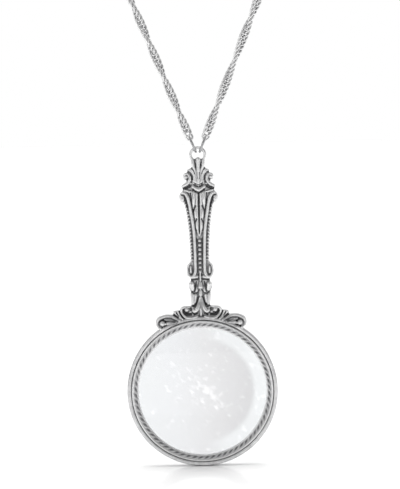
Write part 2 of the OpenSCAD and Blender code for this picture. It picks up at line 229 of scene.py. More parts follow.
# Columns: share of half the handle's width, share of its height, share of SCROLL_R
RAIL = [(0.54, 0.325, 0.5), (0.62, 0.312, 0.6), (0.65, 0.287, 0.6), (0.62, 0.261, 0.75),
        (0.5, 0.244, 1), (0.36, 0.247, 1.1), (0.27, 0.266, 1.05), (0.24, 0.293, 1),
        (0.24, 0.345, 1), (0.25, 0.426, 1), (0.285, 0.532, 1.05), (0.36, 0.603, 1.1),
        (0.43, 0.659, 1.15), (0.5, 0.709, 1.2), (0.58, 0.74, 1.2), (0.7, 0.761, 1.1),
        (0.84, 0.764, 0.95), (0.92, 0.75, 0.85), (0.93, 0.73, 0.8), (0.86, 0.714, 0.7),
        (0.79, 0.712, 0.5)]
HORN = [(0.71, 0.853, 0.5), (0.74, 0.867, 0.7), (0.68, 0.88, 0.85), (0.55, 0.882, 0.9),
        (0.46, 0.869, 1), (0.43, 0.854, 1.05), (0.49, 0.836, 1.1), (0.6, 0.821, 1.2),
        (0.74, 0.811, 1.2), (0.8, 0.805, 1)]
SWAG = [(0.38, 0.82, 0.9), (0.3, 0.804, 1.1), (0.17, 0.792, 1.3), (0, 0.784, 1.6)]
RIB_1 = [(0.25, 0.967, 1), (0.26, 0.946, 1.2), (0.23, 0.925, 1.15), (0.17, 0.904, 0.95),
         (0.12, 0.879, 0.85), (0.1, 0.846, 0.8), (0.08, 0.818, 0.8)]
RIB_2 = [(0.37, 0.911, 1), (0.3, 0.904, 1.1), (0.22, 0.888, 0.95), (0.18, 0.867, 0.85),
         (0.16, 0.83, 0.8)]
RIB_3 = [(0.49, 0.904, 1), (0.42, 0.899, 1.1), (0.32, 0.882, 0.85), (0.26, 0.863, 0.7),
         (0.24, 0.828, 0.8)]
SPINE = [(0, 0.971, 1.7), (0, 0.925, 1.45), (0, 0.884, 1.3), (0, 0.842, 1.1), (0, 0.815, 1)]
VEIN = [(0.11, 0.765, 1), (0.12, 0.717, 1), (0.11, 0.676, 0.95), (0.1, 0.624, 0.9),
        (0.085, 0.561, 0.8), (0.07, 0.526, 0.7), (0.01, 0.5, 0.5)]
SPRAY = [(0.04, 0.112, 0.7), (0.085, 0.082, 1.1), (0.15, 0.055, 1.2), (0.25, 0.034, 1.3),
         (0.34, 0.028, 1.2), (0.4, 0.038, 1)]
PETALS = [[(0.22, 0.775, 0.8), (0.25, 0.735, 1.35), (0.275, 0.7, 1.1), (0.29, 0.668, 0.4)],
          [(0.16, 0.69, 0.6), (0.19, 0.65, 1.1), (0.205, 0.615, 0.95), (0.215, 0.583, 0.35)],
          [(0.15, 0.6, 0.6), (0.145, 0.56, 0.9), (0.125, 0.525, 0.4)]]
STEM = [(0, 0.111, 0.85), (0, 0.085, 1.1), (0, 0.02, 1), (0, -0.02, 0.5)]
BAR = [(0, 0.262, 0.6), (0, 0.22, 0.6)]

# Columns: the same shares at one end of a lobe, its radius in SCROLL_R, then the other end
LOBES = [(0.36, 0.772, 0.6, 0.4, 0.735, 0.6), (0.46, 0.197, 1.95, 0.4, 0.164, 1.1),
         (0.43, 0.13, 1.3, 0.4, 0.078, 1.2), (0.26, 0.128, 1.1, 0.32, 0.088, 1.1),
         (0.835, 0.744, 1.1, 0.83, 0.724, 1.2),
         (0.485, 0.306, 0.75, 0.485, 0.272, 0.75), (0.16, 0.244, 1.1, 0.46, 0.238, 0.9),
         (0.46, 0.772, 0.8, 0.7, 0.782, 0.8)]
MIDDLE_LOBES = [(0, 0.203, 1.2, 0, 0.182, 1.85), (0, 0.15, 1.2, 0, 0.133, 1.3),
                (0, 0.52, 0.6, 0, 0.5, 0.5)]

# Columns: share of half the handle's width, share of its height, radius in SCROLL_R
BALLS = [(0.63, 0.863, 1.2), (0.38, 0.034, 1.2)]

# Columns: share of half the handle's width, share of its height
PLATE = [(0.5, -0.02), (0.475, 0.07), (0.5, 0.096), (0.535, 0.139), (0.5, 0.148),
         (0.55, 0.16), (0.6, 0.187), (0.55, 0.21), (0.49, 0.222), (0.52, 0.233),
         (0.61, 0.247), (0.67, 0.287), (0.58, 0.325), (0.475, 0.343), (0.47, 0.385),
         (0.49, 0.447), (0.53, 0.53), (0.6, 0.603), (0.66, 0.655), (0.74, 0.7),
         (0.88, 0.708), (0.965, 0.728), (0.97, 0.75), (0.88, 0.77), (0.81, 0.784),
         (0.82, 0.8), (0.68, 0.817), (0.6, 0.832), (0.65, 0.846), (0.74, 0.863),
         (0.71, 0.88), (0.6, 0.89), (0.51, 0.904), (0.39, 0.915), (0.32, 0.93),
         (0.28, 0.954), (0.27, 0.975)]

# Columns: share of the foot's half angle, share of its rise
FOOT = [(0, 0.72), (0.12, 0.72), (0.2, 0.88), (0.33, 0.94), (0.4, 0.84), (0.43, 0.7),
        (0.47, 0.75), (0.54, 0.8), (0.57, 0.62), (0.6, 0.56), (0.72, 0.78), (0.86, 0.9),
        (0.94, 0.82), (0.99, 0.54), (0.99, 0.18), (0.99, -0.05), (0.99, -0.25),
        (0.75, -0.25), (0.5, -0.25), (0.25, -0.25), (0, -0.25)]

# Columns: the same shares, then share of SCROLL_R
FOOT_SCROLL = [(0.21, 0.84, 0.6), (0.28, 0.88, 0.8), (0.355, 0.88, 0.9), (0.4, 0.73, 0.9),
               (0.4, 0.45, 0.95), (0.37, 0.18, 0.95), (0.3, -0.02, 0.95),
               (0.2, -0.07, 0.85), (0.09, -0.02, 0.7)]
LEAF_1 = [(0.475, 0.7, 0.8), (0.475, 0.43, 0.9), (0.46, 0.18, 0.8), (0.42, -0.03, 0.6)]
LEAF_2 = [(0.54, 0.73, 0.9), (0.54, 0.52, 0.95), (0.51, 0.28, 0.8), (0.47, 0.06, 0.6)]
EAR = [(0.5, -0.05, 0.9), (0.57, 0.18, 1.2), (0.63, 0.44, 1.3), (0.71, 0.64, 1.3),
       (0.79, 0.73, 1.25), (0.88, 0.75, 1.2), (0.945, 0.59, 1.1), (0.97, 0.3, 1.05),
       (0.96, 0.02, 0.85)]
EAR_FILL = [(0.58, -0.05, 0.9), (0.65, 0.13, 1.2), (0.71, 0.3, 1.3), (0.77, 0.46, 1)]
EAR_BASE = [(0.6, -0.1, 0.9), (0.69, 0, 1.3), (0.76, 0.08, 1.2), (0.81, 0.12, 0.8)]
FOOT_BALLS = [(0.29, 0.63, 1.6)]
EAR_BALL = (0.87, 0.27)
# Columns: share of the handle's height, share of half its width
EDGE = [(0.35, 0.43), (0.45, 0.455), (0.54, 0.5), (0.62, 0.57), (0.694, 0.69)]
PEARL_TOP = 0.468
PEARL_END = 0.275
PEARL_TAPER = 0.2
# The relief rises from the handle's face to the foot's between these shares of the height,
# and to the rim's front over this share of the foot's rise
LIFT_TOP = 0.085
LIFT_END = 0.052
RIM_REACH = 0.4

# Grooves cut after the cast relief is joined: width and depth, then shares of the handle
GROOVES = [
    (0.16, 0.15, [(0.055, 0.892), (0.045, 0.854)]),
    (0.2, 0.3, [(0.88, 0.755), (0.79, 0.748), (0.71, 0.734), (0.66, 0.717), (0.63, 0.696),
                (0.59, 0.676)]),
    (0.2, 0.3, [(0.4, 0.765), (0.42, 0.728), (0.38, 0.696), (0.33, 0.665), (0.275, 0.634),
                (0.22, 0.593), (0.205, 0.551), (0.16, 0.53)]),
    (0.2, 0.25, [(0.12, 0.2255), (0.46, 0.2255)]),
    (0.16, 0.2, [(0.085, 0.262), (0.09, 0.23)]),
    (0.2, 0.3, [(0.21, 0.214), (0.245, 0.185), (0.3, 0.152)]),
    (0.18, 0.2, [(0.11, 0.158), (0.17, 0.146), (0.28, 0.144), (0.39, 0.145), (0.48, 0.156)]),
    (0.16, 0.2, [(0.12, 0.114), (0.2, 0.085), (0.28, 0.066)]),
    (0.14, 0.1, [(0.21, 0.978), (0.155, 0.946), (0.138, 0.92)]),
    (0.18, 0.15, [(0.36, 0.919), (0.26, 0.906), (0.19, 0.885)]),
    (0.26, 0.3, [(0.53, 0.899), (0.42, 0.892), (0.32, 0.872), (0.31, 0.85)]),
    (0.16, 0.2, [(0.24, 0.83), (0.15, 0.822), (0, 0.816)]),
    (0.26, 0.35, [(0.28, 0.787), (0.17, 0.773), (0, 0.763)]),
    (0.36, 0.4, [(0.38, 0.815), (0.52, 0.801), (0.85, 0.789)]),
    (0.2, 0.25, [(0, 0.76), (0, 0.64), (0, 0.515)]),
    (0.24, 0.35, [(0.165, 0.686), (0.28, 0.658)]),
    (0.22, 0.35, [(0.13, 0.604), (0.215, 0.58)]),
    (0.16, 0.08, [(0.18, 0.76), (0.17, 0.715), (0.2, 0.69)]),
    (0.13, 0.18, [(0.134, 0.485), (0.13, 0.27)]),
]
# The same for the foot, in shares of its half angle and its rise
FOOT_GROOVES = [
    (0.36, 0.5, [(0.22, 0.2), (0.29, 0.24), (0.34, 0.38), (0.355, 0.55)]),
    (0.24, 0.4, [(0.087, 0.23), (0.146, 0.16)]),
    (0.2, 0.3, [(0.2, 0.77), (0.205, 0.55)]),
    (0.34, 0.5, [(0.565, 0.52), (0.512, 0.25)]),
    (0.2, 0.3, [(0.446, 0.66), (0.433, 0.41), (0.41, 0.14)]),
    (0.2, 0.25, [(0.505, 0.6), (0.49, 0.35)]),
    # This wide, shallow row is mostly painted shade, over the ear's bright highlights
    (1.1, 0.08, [(0.6, 0.1), (0.72, 0.42), (0.86, 0.7), (0.95, 0.4)]),
]
BALL_RING = (0.14, 0.12, 1.25)
# Width and depth of the grooves between pearls, and their reach as a share of half the width
PEARL_GROOVE = (0.15, 0.2, 0.07)
# High places rubbed bright, with painted highlights on them: width and strength, then shares of the
# handle
RUBBED_AND_PAINTED_HIGHLIGHTS = [
    (0.4, 0.6, [(0, 0.47), (0, 0.27)]),
    (0.45, 0.7, [(0.25, 0.75), (0.28, 0.705)]),
    (0.35, 0.6, [(0.225, 0.655), (0.205, 0.618)]),
    (0.3, 0.5, [(0.15, 0.585), (0.13, 0.55)]),
    (0.3, 0.5, [(0.115, 0.74), (0.11, 0.68)]),
    (0.45, 0.5, [(0.835, 0.742), (0.83, 0.724)]),
    (0.5, 0.5, [(0, 0.2), (0, 0.14)]),
    (0.5, 0.5, [(0.44, 0.205), (0.435, 0.165)]),
    (0.5, 0.4, [(0.42, 0.13), (0.42, 0.08)]),
    (0.4, 0.5, [(0.35, 0.034), (0.25, 0.045)]),
]
# Painted shade over the brightest highlights of the foot, the ear and the rim's outer edge,
# and a painted highlight on the ear's ball where the strength is below 0: width and
# strength, then shares of the foot
FOOT_PAINTED_LIGHT = [
    (0.45, 0.8, [(0, 0.05), (0.3, 0.05), (0.6, 0.02)]),
    (0.4, 0.5, [(0.62, 0.02), (0.85, 0)]),
    (0.9, 0.4, [(0.6, 0.1), (0.7, 0.3), (0.76, 0.45)]),
    (0.7, -0.7, [(0.865, 0.27), (0.875, 0.27)]),
    (0.7, 0.5, [(0, -0.17), (0.45, -0.17), (0.8, -0.17)]),
]
# A groove this deep is fully dark
DARK_DEPTH = 0.2

# Studio. The walls' brightness runs from front to back between these shares of the way, and
# the ceiling's begins at the horizon and is full at its share of the way up.
FRONT_WALL = 0.34
BACK_WALL = 1.1
WALL_SHARES = (-0.6, 1)
CEILING = 0.05
CEILING_SHARE = 0.8
SUN = 2.3
SUN_ANGLE = 40
SUN_TILT = 2
# Columns: name, place and side in metres, brightness
SOFTBOXES = [("key", (-0.45, -0.65, 0.05), 0.35, 1.2),
             ("front", (0, -0.75, 0.12), 0.2, 1),
             ("side", (0.6, -0.35, -0.05), 0.3, 0.8)]

# Floor, in metres
FLOOR_SIZE = 40
FLOOR_GAP = 0.0001
FLOOR_TONE = 0.93
FLOOR_GLOW = 0.02
FLOOR_POLISH = 0.3
FLOOR_ROUGHNESS = 0.12

# Camera: focal length, tilt and roll in degrees, the frame's middle from the rim's, its
# height, and the nearest and farthest distance seen in metres
LENS_LENGTH = 130
CAMERA_TILT = 3.5
CAMERA_ROLL = 1.17
PHOTO_SIDE = -0.78
PHOTO_UP = 43.77
PHOTO_HEIGHT = 146.7
CLIP = (0.01, 50)


def unit(v):
    return v / np.linalg.norm(v, axis=-1, keepdims=True)


def smooth(rows, steps):
    """A smooth row of points through those given, with some steps in each stretch."""
    p = np.array(rows, float)
    ends = np.vstack([p[:1], p, p[-1:]])
    t = (np.arange(steps) / steps)[:, None]
    made = [(2 * b + (c - a) * t + (2 * a - 5 * b + 4 * c - d) * t**2
             + (3 * b - a - 3 * c + d) * t**3) / 2
            for a, b, c, d in zip(ends, ends[1:], ends[2:], ends[3:])]
    return np.vstack([*made, p[-1:]])


def skin(rings, closed=False):
    """Points and faces of a surface through rings of points, its open ends capped."""
    rings = np.asarray(rings, float)
    count, sides = rings.shape[:2]
    i, j = np.meshgrid(np.arange(count if closed else count - 1), np.arange(sides), indexing="ij")
    k, n = (j + 1) % sides, (i + 1) % count
    quads = np.stack([i * sides + j, n * sides + j, n * sides + k, i * sides + k], -1)
    faces = quads.reshape(-1, 4).tolist()
    if not closed:
        faces += [list(range(sides)), list(range(count * sides - 1, (count - 1) * sides - 1, -1))]
    return rings.reshape(-1, 3), faces


def joined(parts):
    """One list of points and one of faces for several."""
    points, faces, start = [], [], 0
    for part_points, part_faces in parts:
        points.append(part_points)
        faces += [[start + i for i in face] for face in part_faces]
        start += len(part_points)
    return np.vstack(points), faces


def mirrored(part):
    points, faces = part
    return points * [-1, 1, 1], [face[::-1] for face in faces]


def both_sides(parts):
    return [*parts, *map(mirrored, parts)]


def stroke(rows, steps=4, sides=14):
    """A raised stroke with round ends. Rows hold across, up, radius and lift."""
    p = smooth(rows, steps)
    run = unit(np.gradient(p[:, :2], axis=0))
    caps = np.radians([85, 60, 35, 15])
    places = [*(p[0, :2] - run[0] * p[0, 2] * math.sin(a) for a in caps), *p[:, :2],
              *(p[-1, :2] + run[-1] * p[-1, 2] * math.sin(a) for a in caps[::-1])]
    radii = [*(p[0, 2] * math.cos(a) for a in caps), *p[:, 2],
             *(p[-1, 2] * math.cos(a) for a in caps[::-1])]
    lifts = [p[0, 3]] * len(caps) + list(p[:, 3]) + [p[-1, 3]] * len(caps)
    runs = [run[0]] * len(caps) + list(run) + [run[-1]] * len(caps)
    turn = np.linspace(0, 2 * math.pi, sides, endpoint=False)
    return skin([np.stack([c[0] - t[1] * r * np.cos(turn), -lift - r * RELIEF * np.sin(turn),
                           c[1] + t[0] * r * np.cos(turn)], -1)
                 for c, r, lift, t in zip(places, radii, lifts, runs)])


def bead(place, r, lift=0.0, sides=16):
    """A ball of relief, as much deeper than wide as a stroke is."""
    down = np.radians(np.linspace(4, 176, sides // 2))
    turn = np.linspace(0, 2 * math.pi, sides, endpoint=False)
    return skin([np.stack([place[0] + r * math.sin(a) * np.cos(turn),
                           np.full(sides, -lift - r * RELIEF * math.cos(a)),
                           place[1] + r * math.sin(a) * np.sin(turn)], -1) for a in down])


def prism(outline, front, back):
    """A flat plate of an outline, between two depths."""
    outline = np.array(outline, float)
    return skin([np.insert(outline, 1, depth, axis=1) for depth in (front, back)])


def wire_ring(mean_r, wire_r, turns=64, sides=16):
    """A ring of round wire in the plane of the first two axes."""
    turn = np.linspace(0, 2 * math.pi, sides, endpoint=False)
    angles = np.linspace(0, 2 * math.pi, turns, endpoint=False)
    reach = mean_r + wire_r * np.cos(turn)
    return skin([np.stack([reach * math.cos(a), reach * math.sin(a), wire_r * np.sin(turn)], -1)
                 for a in angles], closed=True)


def turned(outline, turns=240):
    """A closed outline of radius and depth, turned about the lens's axis."""
    outline = np.array(outline, float)
    angles = np.linspace(0, 2 * math.pi, turns, endpoint=False)
    return skin([np.stack([outline[:, 0] * math.cos(a), outline[:, 1], outline[:, 0] * math.sin(a)],
                          -1) for a in angles], closed=True)


def laid(part, place, along, across):
    """Lays a part's first two axes along two directions at a place."""
    points, faces = part
    turn = np.stack([along, across, np.cross(along, across)])
    return points @ turn + place, faces


def on_handle(across, up):
    return np.array([across * HANDLE_W / 2, RIM_R + up * HANDLE_H])


def on_foot(share, rise):
    angle = math.radians(share * FOOT_ANGLE)
    return (RIM_R + rise * FOOT_RISE) * np.array([math.sin(angle), math.cos(angle)])


def handle_lift(up):
    """How far the relief stands forward: more beside the rim."""
    return FOOT_FACE * min(1, max(0, (LIFT_TOP - up) / (LIFT_TOP - LIFT_END)))


def foot_lift(rise):
    return FOOT_FACE + (RIM_BACK - FOOT_FACE) * min(1, max(0, 1 - rise / RIM_REACH))


def handle_stroke(rows):
    return stroke([(*on_handle(a, up), r * SCROLL_R, handle_lift(up)) for a, up, r in rows])


def foot_stroke(rows):
    return stroke([(*on_foot(a, rise), r * SCROLL_R, foot_lift(rise)) for a, rise, r in rows])


def handle_lobe(row):
    a, up, r, to_a, to_up, to_r = row
    return handle_stroke([(a, up, r), (to_a, to_up, to_r)])


def plate():
    side = [on_handle(*p) for p in PLATE]
    right = smooth([(0, RIM_R), *side, (0, side[-1][1])], 3)
    left = right[-2:0:-1] * [-1, 1]
    return prism(np.vstack([right, left]), 0, PLATE_T)


def foot_plate():
    right = smooth([on_foot(*p) for p in FOOT], 3)
    left = right[-2:0:-1] * [-1, 1]
    return prism(np.vstack([right, left]), -FOOT_FACE, PLATE_T)


def edge_beads():
    ups, shares = zip(*EDGE)
    for up in np.linspace(ups[0], ups[-1], EDGE_BEADS):
        yield bead(on_handle(np.interp(up, ups, shares), up), EDGE_R)


def pearls():
    for t in np.linspace(0, 1, PEARLS):
        place = on_handle(0, PEARL_TOP + (PEARL_END - PEARL_TOP) * t)
        yield bead(place, PEARL_R * (1 - PEARL_TAPER * t))


def cast_relief():
    """The closed solids that the handle and foot are cast from."""
    right = [*map(handle_stroke, [RAIL, HORN, SWAG, RIB_1, RIB_2, RIB_3, VEIN, SPRAY, *PETALS]),
             *map(foot_stroke, [FOOT_SCROLL, EAR, EAR_FILL, EAR_BASE, LEAF_1, LEAF_2]),
             *map(handle_lobe, LOBES), *edge_beads(),
             *(bead(on_handle(a, up), r * SCROLL_R, handle_lift(up)) for a, up, r in BALLS),
             *(bead(on_foot(a, rise), r * SCROLL_R, FOOT_FACE) for a, rise, r in FOOT_BALLS),
             bead(on_foot(*EAR_BALL), EAR_R, FOOT_FACE)]
    middle = [*map(handle_stroke, [SPINE, STEM, BAR]), *map(handle_lobe, MIDDLE_LOBES), *pearls()]
    loop = laid(wire_ring(LOOP_R, LOOP_WIRE), (0, 0, RIM_R + HANDLE_H),
                np.array([1, 0, 0]), np.array([0, 0, 1]))
    return [plate(), foot_plate(), *both_sides(right), *middle, loop]


def mesh_of(name, part, merge=False):
    """A Blender mesh of points and faces, its faces turned outward and smooth."""
    points, faces = part
    mesh = bpy.data.meshes.new(name)
    mesh.from_pydata(np.asarray(points).tolist(), [], faces)
    work = bmesh.new()
    work.from_mesh(mesh)
    if merge:
        bmesh.ops.remove_doubles(work, verts=work.verts, dist=1e-5)
    bmesh.ops.recalc_face_normals(work, faces=work.faces)
    work.to_mesh(mesh)
    work.free()
    mesh.polygons.foreach_set("use_smooth", [True] * len(mesh.polygons))
    return mesh


def arrays_of(mesh):
    """Points, edges and normals of a mesh as arrays."""
    points = np.zeros(len(mesh.vertices) * 3)
    mesh.vertices.foreach_get("co", points)
    edges = np.zeros(len(mesh.edges) * 2, np.int64)
    mesh.edges.foreach_get("vertices", edges)
    normals = np.zeros(len(mesh.vertices) * 3)
    mesh.vertices.foreach_get("normal", normals)
    return points.reshape(-1, 3), edges.reshape(-1, 2), normals.reshape(-1, 3)


def fused(part, voxel):
    """Overlapping closed solids made into one skin."""
    mesh = mesh_of("cast_parts", part)
    work = bpy.data.objects.new("cast_parts", mesh)
    bpy.context.scene.collection.objects.link(work)
    remesh = work.modifiers.new("fuse", "REMESH")
    remesh.mode = "VOXEL"
    remesh.voxel_size = voxel
    remesh.use_smooth_shade = True
    graph = bpy.context.evaluated_depsgraph_get()
    made = bpy.data.meshes.new_from_object(work.evaluated_get(graph))
    bpy.data.objects.remove(work)
    bpy.data.meshes.remove(mesh)
    return made


def averaged(values, edges, share=0.5):
    """Values at points, each drawn to the mean of its neighbours by a share."""
    first, second = edges.T
    size = len(values)
    count = np.bincount(edges.ravel(), minlength=size)
    total = np.stack([np.bincount(first, column[second], size)
                      + np.bincount(second, column[first], size) for column in values.T], -1)
    return values + share * (total / np.maximum(count, 1)[:, None] - values)


def hollowness(points, edges, normals, rounds):
    """How deep each point lies below the surface round it, in millimetres."""
    far = points
    for _ in range(rounds):
        far = averaged(far, edges)
    return ((far - points) * normals).sum(-1)


def distance_to(places, line):
    """Distance of places in a plane from a line of points."""
    best = np.full(len(places), np.inf)
    for a, b in zip(line, line[1:]):
        along = np.clip(((places - a) @ (b - a)) / ((b - a) @ (b - a)), 0, 1)[:, None]
        best = np.minimum(best, np.linalg.norm(places - a - along * (b - a), axis=1))
    return best


def groove_depth(points):
    """Depth of the cut grooves at each point of the front, and how dark or bright it is there: dark in
    the grooves, with painted shade and painted highlights.
    """
    depth = np.zeros(len(points))
    marks_and_painted_light = np.zeros(len(points))
    places = np.stack([np.abs(points[:, 0]), points[:, 2]], -1)
    front = points[:, 1] < PLATE_T / 2
    turn = np.linspace(0, 2 * math.pi, 33)
    width, deep, reach = BALL_RING
    ring = on_foot(*EAR_BALL) + reach * EAR_R * np.stack([np.cos(turn), np.sin(turn)], -1)
    gaps = PEARL_TOP + (PEARL_END - PEARL_TOP) * (np.arange(PEARLS - 1) + 0.5) / (PEARLS - 1)
    gap_width, gap_deep, gap_reach = PEARL_GROOVE
    lines = [*((w, d, smooth([on_handle(*p) for p in row], 4)) for w, d, row in GROOVES),
             *((gap_width, gap_deep, [on_handle(0, up), on_handle(gap_reach, up)]) for up in gaps),
             *((w, d, smooth([on_foot(*p) for p in row], 4)) for w, d, row in FOOT_GROOVES),
             (width, deep, ring)]
    for width, deep, line in lines:
        cut = np.exp(-(distance_to(places, line) / width) ** 2) * front
        depth = np.maximum(depth, cut * deep)
        marks_and_painted_light = np.maximum(marks_and_painted_light, cut * min(1, deep / DARK_DEPTH))
    # Painted highlights on high places of the handle, which are also rubbed bright
    for width, strength, row in RUBBED_AND_PAINTED_HIGHLIGHTS:
        rubbed_and_highlit = np.exp(-(distance_to(places, [on_handle(*p) for p in row]) / width) ** 2) * front
        marks_and_painted_light -= rubbed_and_highlit * strength
    # Painted shade over highlights on the foot and the rim's edge, and a painted highlight on the
    # ear's ball
    for width, strength, row in FOOT_PAINTED_LIGHT:
        line = smooth([on_foot(*p) for p in row], 4)
        marks_and_painted_light += np.exp(-(distance_to(places, line) / width) ** 2) * front * strength
    return depth, marks_and_painted_light


def set_patina_and_painted_light(mesh, patina_and_painted_light):
    attribute = mesh.attributes.new("patina_and_painted_light", "FLOAT", "POINT")
    attribute.data.foreach_set("value", np.clip(patina_and_painted_light, 0, 1).astype(np.float32))


def rim():
    round_in = RIM_BAND / 3
    bend = np.radians(np.linspace(0, 90, 5))
    corner = RIM_R - round_in
    front = [(corner + round_in * math.sin(a), -RIM_BACK + round_in * (1 - math.cos(a))) for a in bend]
    inner = [(BORE_R + round_in * (1 - math.sin(a)), -RIM_BACK + round_in * (1 - math.cos(a)))
             for a in bend[::-1]]
    back = [(corner + round_in * math.cos(a), RIM_BACK - round_in * (1 - math.sin(a))) for a in bend]
    return turned([(LIP_R, LIP_FACE), (BORE_R, LIP_FACE), *inner, *front, *back, (LIP_R, RIM_BACK)])


def cast_mesh():
    """The cast frame: its relief in one skin, grooved and dark in its hollows, with painted shade and
    painted highlights, and its rim.
    """
    skinned = fused(joined(cast_relief()), CAST_VOXEL)
    points, edges, normals = arrays_of(skinned)
    for share in SMOOTHING:
        points = averaged(points, edges, share)
    depth, marks_and_painted_light = groove_depth(points)
    points[:, 1] += depth
    skinned.vertices.foreach_set("co", points.ravel())
    skinned.update()
    points, edges, normals = arrays_of(skinned)
    narrow = hollowness(points, edges, normals, NARROW_ROUNDS)
    wide = hollowness(points, edges, normals, WIDE_ROUNDS)
    faces = np.zeros(len(skinned.loops), np.int64)
    skinned.loops.foreach_get("vertex_index", faces)
    rim_part = rim()
    mesh = mesh_of("frame", joined([(points, faces.reshape(-1, 4).tolist()), rim_part]))
    patina_and_painted_light = CAST_PATINA + marks_and_painted_light * MARK_AND_PAINTED_LIGHT_GAIN + narrow * NARROW_GAIN + wide * WIDE_GAIN
    radius = np.hypot(rim_part[0][:, 0], rim_part[0][:, 2])
    in_seam = np.clip((BORE_R + SEAM_FADE - radius) / SEAM_FADE, 0, 1)
    on_edge = np.clip((radius - RIM_R + EDGE_FADE) / EDGE_FADE, 0, 1)
    # The foot's painted shade also falls on the rim's outer edge
    rim_marks_and_painted_light = groove_depth(rim_part[0])[1]
    rim_patina_and_painted_light = RIM_PATINA + SEAM_GAIN * (in_seam + on_edge) + rim_marks_and_painted_light * MARK_AND_PAINTED_LIGHT_GAIN
    set_patina_and_painted_light(mesh, np.concatenate([patina_and_painted_light, rim_patina_and_painted_light]))
    return mesh


def bezel_mesh():
    """The bezel, its sloping front milled into slanted grains."""
    width = BEZEL_R - BEZEL_IN
    band_in, band_out, ridge = (BEZEL_IN + width * share for share in (BAND_IN, BAND_OUT, RIDGE))
    front, back = -RIM_BACK - BEZEL_PROUD, bezel_high[1] - RIM_MIDDLE[1]
    band_front, inner_front = (front + drop for drop in BAND_DROPS)
    band = [(band_out + (band_in - band_out) * s, band_front + (inner_front - band_front) * s)
            for s in np.linspace(0, 1, 15)]
    outline = [(BEZEL_IN, back), (BEZEL_R, back), (BEZEL_R, front + EDGE_DROP),
               (BEZEL_R - CORNER[0], front + CORNER[1]),
               (ridge + RIDGE_HALF, front + RIDGE_DROP), (ridge, front),
               (ridge - RIDGE_HALF, front + 2 * RIDGE_DROP),
               (band_out + BAND_LIP[0], band_front - BAND_LIP[1]), *band,
               (BEZEL_IN + CORNER[0], inner_front), (BEZEL_IN, inner_front + CORNER[1])]
    points, faces = turned(outline, GRAINS * GRAIN_STEPS)
    radius = np.hypot(points[:, 0], points[:, 2])
    angle = np.arctan2(points[:, 2], points[:, 0])
    across = (radius - (band_in + band_out) / 2) / ((band_out - band_in) / 2)
    on_band = (points[:, 1] < inner_front + HAIR) & (np.abs(across) < 1)
    place = (angle * GRAINS / (2 * math.pi) + across * GRAIN_SLANT) % 1
    pit = np.exp(-((place - 0.5) / PIT_SHARE) ** 2 - (across / PIT_REACH) ** 2)
    points[:, 1] += np.where(on_band, GRAIN_DEPTH * (pit - GRAIN_CROWN * (1 - across**2)), 0)
    mesh = mesh_of("bezel", (points, faces))
    in_seam = np.clip((radius - ridge - SEAM_STEP) / SEAM_FADE, 0, 1)
    set_patina_and_painted_light(mesh, np.where(on_band, PIT_GAIN * pit + BAND_PATINA,
                              BEZEL_PATINA + SEAM_GAIN * in_seam))
    return mesh


def lens_mesh():
    front, back = lens_low[1] - RIM_MIDDLE[1], lens_high[1] - RIM_MIDDLE[1]
    bulge = (back - front - LENS_EDGE) / 2
    curve = (LENS_R**2 + bulge**2) / (2 * bulge)
    radii = LENS_R * np.linspace(0, 1, LENS_RINGS) ** LENS_CROWDING
    drop = curve - np.sqrt(curve**2 - radii**2)
    outline = [*zip(radii, front + drop), *zip(radii[::-1], back - drop[::-1])]
    return mesh_of("lens", turned(outline, LENS_TURNS), merge=True)


def right_strand():
    """Where the right strand's jump ring and end links lie, in the row's axes."""
    foot = HINGE + [RING_SIDE, 0, -LOOP_WIRE - RING_WIRE - RING_HANG]
    along = unit(np.array(ROUTE[0]) - foot)
    across = unit(np.array([0, 1, 0]) - along * along[1])
    eye = np.array([CLASP_L / 2 + EYE_R - 2 * EYE_WIRE, *NAPE])
    link_hang = LINK_HALF - LINK_PITCH + LINK_WIRE + LINK_GAP
    return {"ring": foot + along * RING_R, "along": along, "across": across, "eye": eye,
            "start": foot + along * (2 * RING_R + LINK_REACH - RING_WIRE + LINK_R),
            "end": eye + [EYE_R + LINK_REACH - EYE_WIRE + LINK_R, 0, 0],
            "first": foot + along * (2 * RING_R + RING_WIRE + link_hang),
            "last": eye + [EYE_R + EYE_WIRE + link_hang, 0, 0]}


def strand_path(strand):
    """Points close together along the right strand, from its first link to its last."""
    start = strand["start"]
    straight = [start + (np.array(ROUTE[0]) - start) * i / 4 for i in range(4)]
    curve = smooth([*straight, *ROUTE, strand["end"]], ROUTE_STEPS)
    return np.vstack([strand["first"], curve, strand["last"]])


def link_shape():
    """One curb link along X: its wire crosses its own plane at both ends."""
    turn = np.linspace(0, 2 * math.pi, LINK_STEPS, endpoint=False)
    line = np.stack([LINK_HALF * np.cos(turn), LINK_SIDE * np.sin(turn),
                     LINK_CURL * np.sin(2 * turn)], -1)
    run = unit(np.roll(line, -1, axis=0) - np.roll(line, 1, axis=0))
    out = np.stack([LINK_SIDE * np.cos(turn), LINK_HALF * np.sin(turn), np.zeros(LINK_STEPS)], -1)
    out = unit(out - run * (out * run).sum(-1)[:, None])
    side = np.cross(run, out)
    round_wire = np.linspace(0, 2 * math.pi, LINK_SIDES, endpoint=False)
    cosines, sines = np.cos(round_wire)[:, None], np.sin(round_wire)[:, None]
    points, faces = skin([c + LINK_WIRE * (cosines * o + sines * s)
                          for c, o, s in zip(line, out, side)], closed=True)
    points[:, 2] = np.clip(points[:, 2], -LINK_FACE, LINK_FACE)
    # Painted shade, with some patina, on the wire's inner side, where the next links cross
    inner = np.tile(np.clip(-np.cos(round_wire), 0, 1), LINK_STEPS)
    return points, faces, inner


